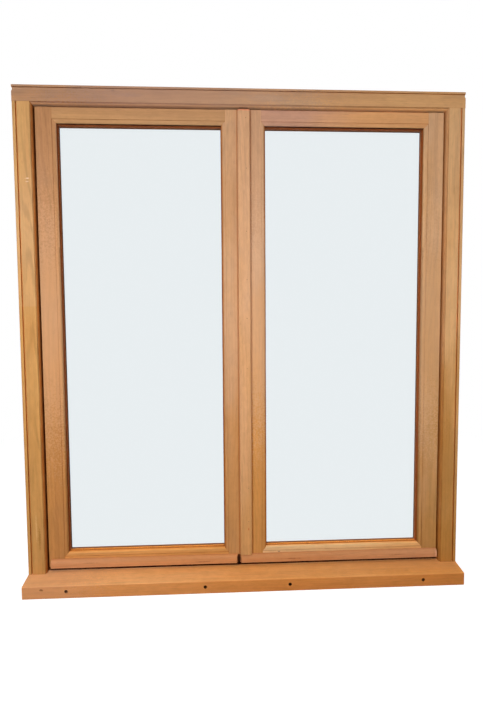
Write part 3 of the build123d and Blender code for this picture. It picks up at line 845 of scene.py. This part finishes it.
def carry_round(section, opening, depth, samples, wander, seed):
    """Points and faces of a closed section carried round an opening and mitred at its corners.

    The section is an array of (in, out) pairs: the distance in from the sight edge, and the distance
    along -Y from the depth. On side k a point lies at corner_k(in) + s * (corner_k+1(in) - corner_k(in)),
    where corner_k(in) is the opening's corner moved in on both axes, so the section turns on the mitre.
    Both distances grow by the factor 1 + wander * (sum of three sines of the way round).
    """
    left, right, bottom, top = opening
    rng = np.random.default_rng(seed)
    steps = np.linspace(0.0, 1.0, samples, endpoint=False)
    side, s = np.repeat(np.arange(4), samples), np.tile(steps, 4)
    way = 2 * np.pi * (side + s) / 4
    waves = sum(np.sin(k * way + rng.uniform(0, 6.28)) for k in (13, 29, 47)) / 3
    size = 1.0 + wander * waves * np.sin(np.pi * s) ** 2
    inset = section[None, :, 0] * size[:, None]
    out = section[None, :, 1] * size[:, None]
    corner_x = np.stack([left + inset, right - inset, right - inset, left + inset])
    corner_z = np.stack([bottom + inset, bottom + inset, top - inset, top - inset])
    row = np.arange(4 * samples)
    following = (side + 1) % 4
    x = corner_x[side, row] + s[:, None] * (corner_x[following, row] - corner_x[side, row])
    z = corner_z[side, row] + s[:, None] * (corner_z[following, row] - corner_z[side, row])
    points = np.stack([x, depth - out, z], axis=-1).reshape(-1, 3)
    count, many = len(section), 4 * samples
    a = (np.arange(many)[:, None] * count + np.arange(count)[None, :]).ravel()
    b = (np.arange(many)[:, None] * count + (np.arange(count)[None, :] + 1) % count).ravel()
    onward = count * many
    faces = np.stack([a, b, (b + count) % onward, (a + count) % onward], axis=1)
    return points, faces


def cove_section(leg, bed):
    """Hollow fillet: a quarter circle about the point (leg, leg), closed by a back let into both faces."""
    turn = np.linspace(0.0, np.pi / 2, 9)
    hollow = np.stack([leg - leg * np.sin(turn), leg - leg * np.cos(turn)], axis=1)
    back = np.array([[-bed, leg], [-bed, -bed], [leg, -bed]])
    return np.concatenate([hollow, back])


def lip_section(leg, bed):
    """Rounded rubber lip: (leg cos a, leg sin a) to the power 0.8, for a quarter turn, on a bedded back."""
    turn = np.linspace(0.0, np.pi / 2, 9)
    full = np.stack([leg * np.cos(turn) ** 0.8, leg * np.sin(turn) ** 0.8], axis=1)
    back = np.array([[-bed, leg], [-bed, -bed], [leg, -bed]])
    return np.concatenate([full, back])


def rubbed_material(name, tones, roughness, scale):
    """Mastic, rubber or filler: two near tones in a fine cloud, a faint drag, and the reveals' painted light
    and shade.
    """
    material, tree, shader, place = begin_material(name)
    cloud = stretched_noise(tree, place, (scale, scale, scale), 4.0, 0.6)
    drag = stretched_noise(tree, place, (40.0, 900.0, 40.0), 2.0)
    bump = put(tree, "ShaderNodeBump", {"Height": drag, "Strength": 0.3, "Distance": 0.0003})
    tone = blend(tree, ramp(tree, cloud, 0.3, 0.7), linear(*tones[0]), linear(*tones[1]))
    hook(tree, [
        (paint_light_on_faces(tree, place, tone), shader.inputs["Base Color"]),
        (ramp(tree, cloud, 0.3, 0.7, *roughness), shader.inputs["Roughness"]),
        (bump.outputs[0], shader.inputs["Normal"]),
    ])
    shader.inputs["Specular IOR Level"].default_value = DULL_SPECULAR
    return material


def pin_heads(places, radius, towards):
    """Points and faces of pin heads: low discs, each with a slightly hollowed filling.

    Round the axis, a head is the profile h(r) = rise * (1 - (r/R)^6) - hollow * (1 - (r/R)^2)^2 from its
    middle to its rim, then straight down to its bed and back to the middle.
    """
    rise, hollow, bed, round_steps = 0.12 * radius, 0.10 * radius, 0.5 * radius, 20
    r = np.linspace(0.0, 1.0, 8)[1:]
    heights = rise * (1 - r ** 6) - hollow * (1 - r ** 2) ** 2
    ring_r = np.concatenate([r, [1.0]]) * radius
    ring_h = np.concatenate([heights, [-bed]])
    turn = np.linspace(0.0, 2 * np.pi, round_steps, endpoint=False)
    x = ring_r[:, None] * np.cos(turn)[None, :]
    z = ring_r[:, None] * np.sin(turn)[None, :]
    h = np.repeat(ring_h[:, None], round_steps, axis=1)
    rings = np.stack([x, towards * h, z], axis=-1).reshape(-1, 3)
    poles = np.array([[0.0, towards * (rise - hollow), 0.0], [0.0, -towards * bed, 0.0]])
    head = np.concatenate([rings, poles])
    first = np.arange(round_steps)
    second = (first + 1) % round_steps
    last = (len(ring_r) - 1) * round_steps
    lower = (np.arange(len(ring_r) - 1)[:, None] * round_steps + first[None, :]).ravel()
    lower_next = (np.arange(len(ring_r) - 1)[:, None] * round_steps + second[None, :]).ravel()
    faces = np.concatenate([
        np.stack([lower, lower_next, lower_next + round_steps], axis=1),
        np.stack([lower, lower_next + round_steps, lower + round_steps], axis=1),
        np.stack([second, first, np.full(round_steps, len(rings))], axis=1),
        np.stack([last + first, last + second, np.full(round_steps, len(rings) + 1)], axis=1),
    ])
    places = np.asarray(places, dtype=float)
    points = (places[:, None, :] + head[None, :, :]).reshape(-1, 3)
    shifts = (np.arange(len(places)) * len(head))[:, None, None]
    return points, (faces[None, :, :] + shifts).reshape(-1, 3)


FILLET_LEG, LIP_LEG, BED = 0.0020, 0.0012, 0.0003
FILLET_SAMPLES, FILLET_WANDER, LIP_SAMPLES = 70, 0.10, 24
BEAD_PIN_RADIUS, ASTRAGAL_PIN_RADIUS, PIN_INSET = 0.0011, 0.0012, 0.0105
PINS_ACROSS, PINS_UP, MARGIN_ACROSS, MARGIN_UP = 4, 7, 0.03, 0.04
ASTRAGAL_PINS = (
    (0.0050, 1.265), (0.0060, 1.135), (0.0055, 0.970), (0.0060, 0.842),
    (0.0055, 0.738), (0.0050, 0.602), (0.0060, 0.270), (0.0066, 0.176),
)

mastic = rubbed_material("brown_mastic", ((134, 76, 38), (156, 92, 50)), (0.45, 0.6), 300.0)
rubber = rubbed_material("brown_rubber", ((118, 62, 28), (138, 76, 36)), (0.5, 0.7), 500.0)
filler = rubbed_material("pin_filler", ((142, 104, 72), (170, 128, 90)), (0.6, 0.75), 900.0)


def dress_sash(sash, seed):
    """Mastic fillet outside, rubber lip and bead pins on the room side of one sash."""
    opening = sash_opening(sash)
    outer_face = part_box(sash + "_pane_outer")[0][1]
    inner_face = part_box(sash + "_pane_inner")[1][1]
    bead_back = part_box(sash + "_bead_top")[1][1]
    cove = cove_section(FILLET_LEG, BED)
    fillet = carry_round(cove, opening, outer_face, FILLET_SAMPLES, FILLET_WANDER, seed)
    mesh_piece(sash + "_mastic", *fillet, mastic)
    lip = lip_section(LIP_LEG, BED) * [1, -1]
    gasket = carry_round(lip, opening, inner_face, LIP_SAMPLES, 0.0, seed)
    mesh_piece(sash + "_gasket", *gasket, rubber)
    left, right, bottom, top = opening
    x = np.linspace(left + MARGIN_ACROSS, right - MARGIN_ACROSS, PINS_ACROSS)
    z = np.linspace(bottom + MARGIN_UP, top - MARGIN_UP, PINS_UP)
    places = [(a, bead_back, b) for b in (bottom - PIN_INSET, top + PIN_INSET) for a in x]
    places += [(a, bead_back, b) for a in (left - PIN_INSET, right + PIN_INSET) for b in z]
    heads = pin_heads(places, BEAD_PIN_RADIUS, 1)
    mesh_piece(sash + "_bead_pins", *heads, filler)


dress_sash("left_sash", 11)
dress_sash("right_sash", 12)
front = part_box("astragal")[0][1]
pins = pin_heads([(x, front, z) for x, z in ASTRAGAL_PINS], ASTRAGAL_PIN_RADIUS, -1)
mesh_piece("astragal_pins", *pins, filler)


# Floor, world, lamps and camera

def make_floor():
    """Pale floor: white to the camera, with the object's soft shadow near it, and a mild bounce."""
    bpy.ops.mesh.primitive_plane_add(size=60)
    floor = bpy.context.object
    floor.name = "floor"
    material, tree, shader, place = begin_material("pale_floor")
    tree.nodes.remove(shader)
    shadow_reach, white_reach = 1.0, 2.4
    faded = ramp(tree, measure_of(tree, "LENGTH", place), shadow_reach, white_reach)
    rays = put(tree, "ShaderNodeLightPath").outputs
    through = reckon(tree, "MAXIMUM", rays["Is Glossy Ray"], rays["Is Transmission Ray"])
    far = reckon(tree, "MULTIPLY", faded, rays["Is Camera Ray"])
    plain_white = reckon(tree, "MAXIMUM", through, far, clamp=True)
    tone = blend(tree, rays["Is Camera Ray"], (0.42, 0.42, 0.42, 1), (0.78, 0.78, 0.78, 1))
    matt = put(tree, "ShaderNodeBsdfDiffuse", {"Color": tone})
    glow = put(tree, "ShaderNodeEmission", {
        "Color": (1, 1, 1, 1), "Strength": reckon(tree, "MULTIPLY", rays["Is Camera Ray"], 0.66),
    })
    near = put(tree, "ShaderNodeAddShader", {0: matt.outputs[0], 1: glow.outputs[0]})
    white = put(tree, "ShaderNodeEmission", {"Color": (1, 1, 1, 1), "Strength": 1.0})
    mixed = put(tree, "ShaderNodeMixShader", {0: plain_white, 1: near.outputs[0], 2: white.outputs[0]})
    hook(tree, [(mixed.outputs[0], tree.nodes["Material Output"].inputs["Surface"])])
    floor.data.materials.append(material)


def make_world():
    """White to the eye and in reflections, and soft light from above to everything else."""
    world = bpy.data.worlds.new("studio")
    bpy.context.scene.world = world
    world.use_nodes = True
    tree = world.node_tree
    background = tree.nodes["Background"]
    rays = put(tree, "ShaderNodeLightPath").outputs
    seen = reckon(tree, "MAXIMUM", rays["Is Camera Ray"], rays["Is Transmission Ray"])
    seen = reckon(tree, "MAXIMUM", seen, rays["Is Glossy Ray"])
    way = put(tree, "ShaderNodeTexCoord").outputs["Generated"]
    sky = ramp(tree, split(tree, way)["Z"], -0.2, 0.9, 0.16, 0.30)
    strength = reckon(tree, "ADD", reckon(tree, "MULTIPLY", sky, reckon(tree, "SUBTRACT", 1.0, seen)), seen)
    background.inputs["Color"].default_value = (1, 1, 1, 1)
    hook(tree, [(strength, background.inputs["Strength"])])


def make_lamp(name, place, aim, size, watts, mirrored=True):
    """Soft lamp of a width and height at a place, turned to what it aims at."""
    lamp = bpy.data.lights.new(name, "AREA")
    lamp.shape = "RECTANGLE"
    lamp.size, lamp.size_y = size
    lamp.energy = watts
    holder = bpy.data.objects.new(name, lamp)
    bpy.context.scene.collection.objects.link(holder)
    holder.location = place
    holder.rotation_euler = (Vector(aim) - Vector(place)).to_track_quat("-Z", "Y").to_euler()
    holder.visible_camera = False
    holder.visible_glossy = mirrored
    holder.visible_transmission = mirrored


def make_camera():
    """Camera at the photograph's viewing angle, from turns about the lens's own axes and an offset."""
    focal_length = 24.86
    turn_x, turn_y, turn_z = 0.06630046, -0.05146359, -0.01040559
    offset = np.array([0.01487900, 0.61883013, 1.39988584])
    cx, sx, cy, sy = math.cos(turn_x), math.sin(turn_x), math.cos(turn_y), math.sin(turn_y)
    cz, sz = math.cos(turn_z), math.sin(turn_z)
    about_x = np.array([[1, 0, 0], [0, cx, -sx], [0, sx, cx]])
    about_y = np.array([[cy, 0, sy], [0, 1, 0], [-sy, 0, cy]])
    about_z = np.array([[cz, -sz, 0], [sz, cz, 0], [0, 0, 1]])
    to_lens = about_z @ about_y @ about_x @ np.array([[1, 0, 0], [0, 0, -1], [0, 1, 0]])
    camera = bpy.data.cameras.new("camera")
    camera.lens = focal_length
    holder = bpy.data.objects.new("camera", camera)
    bpy.context.scene.collection.objects.link(holder)
    turned = to_lens.T @ np.diag([1, -1, -1])
    holder.matrix_world = Matrix.Translation(-to_lens.T @ offset) @ Matrix(turned.tolist()).to_4x4()
    bpy.context.scene.camera = holder


make_floor()
make_world()
make_lamp("front_strip", (-0.25, -1.00, 0.74), (-0.25, 0.0, 0.72), (1.8, 0.30), 9.6, mirrored=False)
make_lamp("left_box", (-2.2, -4.0, 1.8), (0.0, 0.0, 0.7), (0.8, 0.8), 34.0)
make_lamp("overhead", (-0.5, -2.6, 4.0), (0.0, 0.0, 0.4), (1.5, 1.5), 30.0)
make_lamp("room_side", (1.4, 3.6, 2.6), (0.0, 0.05, 0.7), (1.5, 1.5), 34.0, mirrored=False)
make_camera()
bpy.context.scene.view_settings.view_transform = "Standard"
